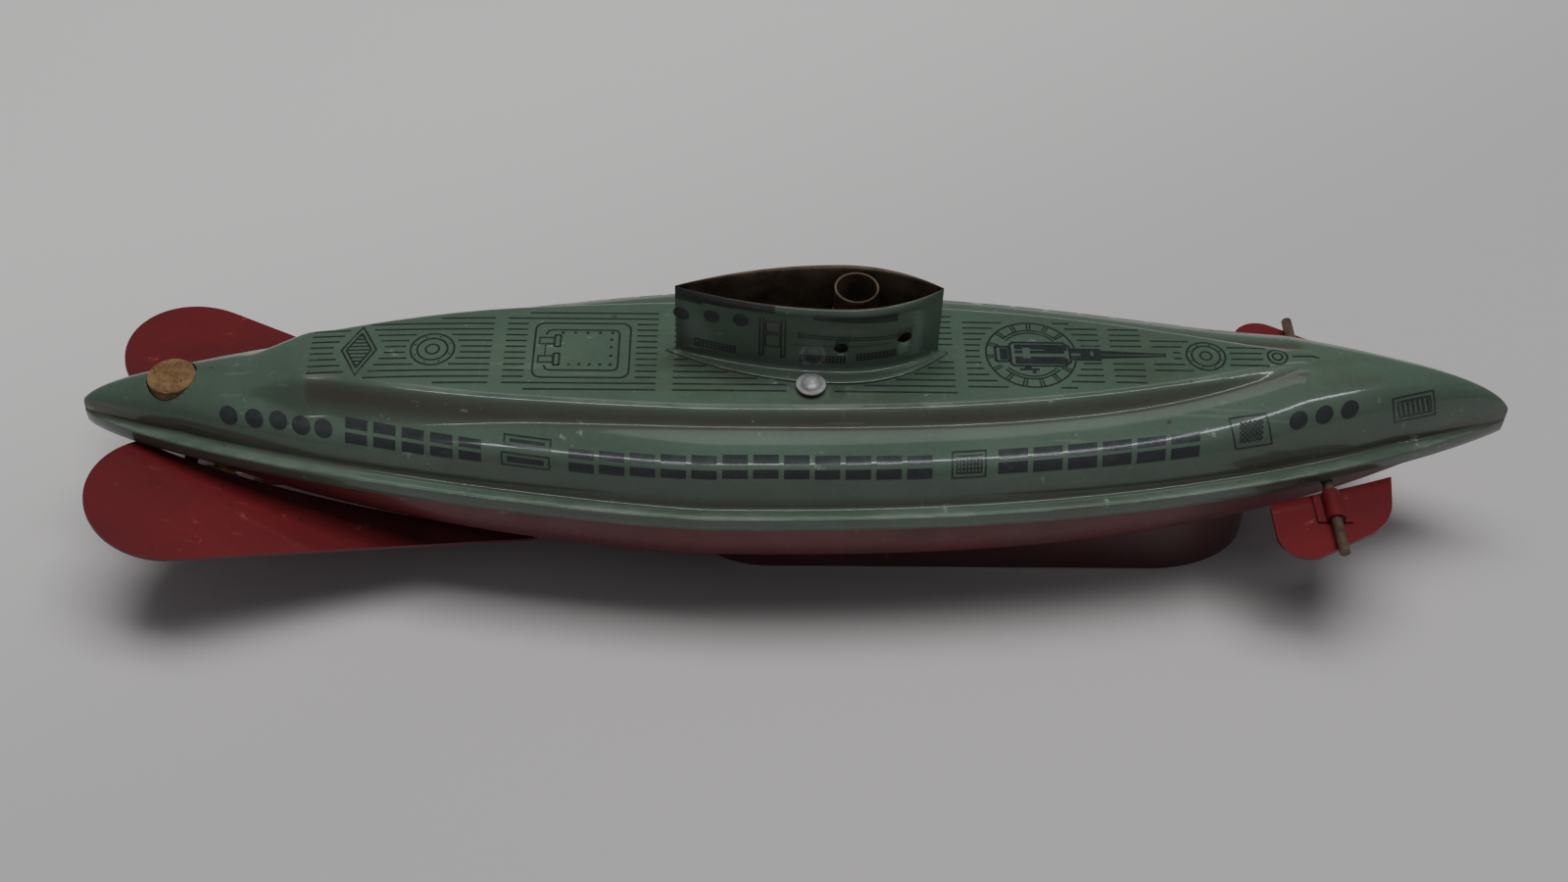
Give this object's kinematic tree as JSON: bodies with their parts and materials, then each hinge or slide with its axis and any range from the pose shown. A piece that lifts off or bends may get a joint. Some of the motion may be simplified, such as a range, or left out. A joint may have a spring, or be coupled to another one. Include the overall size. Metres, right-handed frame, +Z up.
{
  "type": "clockwork toy submarine",
  "caption": "Pressed-tin clockwork toy submarine with conning tower, winding tube, tail plane, pivoting bow planes, propeller, rudder and ballast keel.",
  "frame": {"origin": "under the middle of the hull, on the surface that the ballast keel stands on", "axes": "+X towards the bow, +Y to port, +Z up"},
  "size_m": [0.33, 0.0796, 0.0759],
  "materials": {
    "green_tin": "gloss printed enamel",
    "red_tin": "gloss enamel",
    "dark_red_tin": "gloss enamel",
    "bare_tin": "dull aged tinplate",
    "steel": "satin",
    "spring_steel": "blued",
    "brass": "satin",
    "lead": "dull cast",
    "cork": "natural cork"
  },
  "bodies": {
    "hull": {"upper_hull": "green_tin", "lower_hull": "red_tin", "tower_port": "green_tin", "tower_starboard": "green_tin", "tower_rivets": "steel", "winding_tube": "bare_tin", "ballast_keel": "dark_red_tin", "ballast_weight": "lead", "keel_screws": "steel", "tail_plane": "red_tin", "tail_plane_rivets": "red_tin", "stern_tube": "brass", "shaft_bracket": "red_tin", "rudder_bush": "brass", "bow_bushes": "bare_tin", "motor_plate_lower": "steel", "motor_plate_upper": "steel", "motor_pillars": "steel", "pillar_nuts": "brass", "motor_feet": "steel", "mainspring": "spring_steel", "shaft_bearing": "steel", "tail_plane_brackets": "red_tin"},
    "drive_wheel": {"great_wheel": "brass", "click_rivet": "brass", "click_spring": "steel"},
    "click_pawl": {"click": "steel"},
    "winding": {"winding_arbor": "steel", "ratchet_wheel": "steel"},
    "second_train": {"second_arbor": "steel", "drive_pinion": "brass", "crown_wheel": "brass"},
    "screw": {"propeller_shaft": "steel", "shaft_pinion": "brass", "propeller": "brass", "propeller_nut": "brass"},
    "rudder": {"rudder_stock": "steel", "rudder_blade": "red_tin"},
    "bow_planes": {"bow_rod": "bare_tin", "bow_plane_port": "red_tin", "bow_plane_starboard": "red_tin", "bow_straps": "red_tin"},
    "cork": {"cork_plug": "cork"}
  },
  "joints": [
    {"name": "drive_wheel_spin", "type": "hinge", "parent": "hull", "child": "drive_wheel", "pos_m": [0.0112, 0, 0.033], "axis": [0, 0, 1], "continuous": true},
    {"name": "winding_spin", "type": "hinge", "parent": "drive_wheel", "child": "winding", "pos_m": [0.0112, 0, 0.035], "axis": [0, 0, 1], "continuous": true},
    {"name": "click_lift", "type": "hinge", "parent": "drive_wheel", "child": "click_pawl", "pos_m": [0.02201, 0.00393, 0.0343], "axis": [0, 0, 1], "range_deg": [0, 15], "stiffness_Nm_per_rad": 0.0005},
    {"name": "second_train_spin", "type": "hinge", "parent": "hull", "child": "second_train", "pos_m": [-0.0104, 0, 0.03], "axis": [0, 0, 1], "continuous": true},
    {"name": "screw_spin", "type": "hinge", "parent": "hull", "child": "screw", "pos_m": [-0.1, 0, 0.014], "axis": [1, 0, 0], "continuous": true},
    {"name": "rudder_turn", "type": "hinge", "parent": "hull", "child": "rudder", "pos_m": [-0.153, 0, 0.02], "axis": [0, 0, 1], "range_deg": [-35, 35]},
    {"name": "bow_planes_tilt", "type": "hinge", "parent": "hull", "child": "bow_planes", "pos_m": [0.1213, 0, 0.0313], "axis": [0, 1, 0], "range_deg": [-25, 25]},
    {"name": "cork_pull", "type": "slide", "parent": "hull", "child": "cork", "axis": [0, 0, 1], "range_m": [0, 0.015]}
  ],
  "couplings": [
    {"joint": "second_train_spin", "follows": "drive_wheel_spin", "ratio": -5},
    {"joint": "screw_spin", "follows": "drive_wheel_spin", "ratio": -15}
  ]
}
